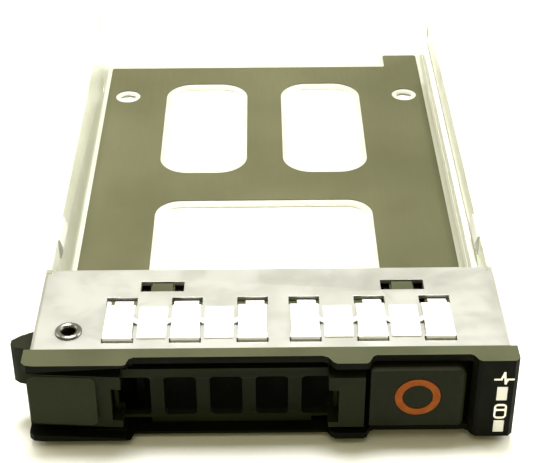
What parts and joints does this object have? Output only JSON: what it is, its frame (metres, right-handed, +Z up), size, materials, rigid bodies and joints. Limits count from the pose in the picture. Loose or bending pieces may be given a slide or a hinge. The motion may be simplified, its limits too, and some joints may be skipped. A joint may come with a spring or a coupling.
{
  "type": "hot-swap drive carrier",
  "caption": "Empty sheet-metal hot-swap carrier for a 2.5-inch disk drive, with a dark plastic bezel, swing-out vented ejector lever and release button with an orange ring",
  "frame": {"origin": "Centre of the web between the floor openings, on the underside of the tray (the resting surface), 74 mm behind the bezel's front face.", "axes": "+X to the right seen from the bezel, +Y from the bezel towards the tray's open rear end, +Z up."},
  "size_m": [0.0786, 0.1323, 0.0171],
  "materials": {
    "tray_metal": "satin",
    "film": "matte",
    "cover_metal": "satin",
    "spring_metal": "satin",
    "bezel_plastic": "matte",
    "lever_plastic": "matte",
    "eyelet_metal": "polished",
    "spring_wire": "satin",
    "button_plastic": "satin",
    "ring_plastic": "satin",
    "clear_plastic": "polished",
    "icon_print": "satin"
  },
  "bodies": {
    "carrier": {"tray": "tray_metal", "floor_film": "film", "front_cover": "cover_metal", "emi_clip_left": "spring_metal", "emi_clip_right": "spring_metal", "bezel": "bezel_plastic", "pivot_eyelet": "eyelet_metal", "light_pipe_activity": "clear_plastic", "light_pipe_status": "clear_plastic", "activity_icon": "icon_print", "status_icon": "icon_print", "cover_rivet_left": "eyelet_metal", "cover_rivet_right": "eyelet_metal", "ground_clip_left": "spring_metal", "ground_clip_right": "spring_metal"},
    "lever": {"ejector_lever": "lever_plastic", "lever_pad": "lever_plastic", "lever_spring": "spring_wire"},
    "button": {"release_button": "button_plastic", "button_ring": "ring_plastic", "button_spring": "spring_wire"}
  },
  "joints": [
    {"name": "lever_swing", "type": "hinge", "parent": "carrier", "child": "lever", "pos_m": [-0.03158, -0.06579, 0.009], "axis": [0, 0, -1], "range_deg": [0, 45], "stiffness_Nm_per_rad": 0.004, "springref_deg": 51.57},
    {"name": "button_press", "type": "slide", "parent": "carrier", "child": "button", "axis": [0, 1, 0], "range_m": [0, 0.0015], "stiffness_N_per_m": 400, "springref_m": -0.001}
  ]
}
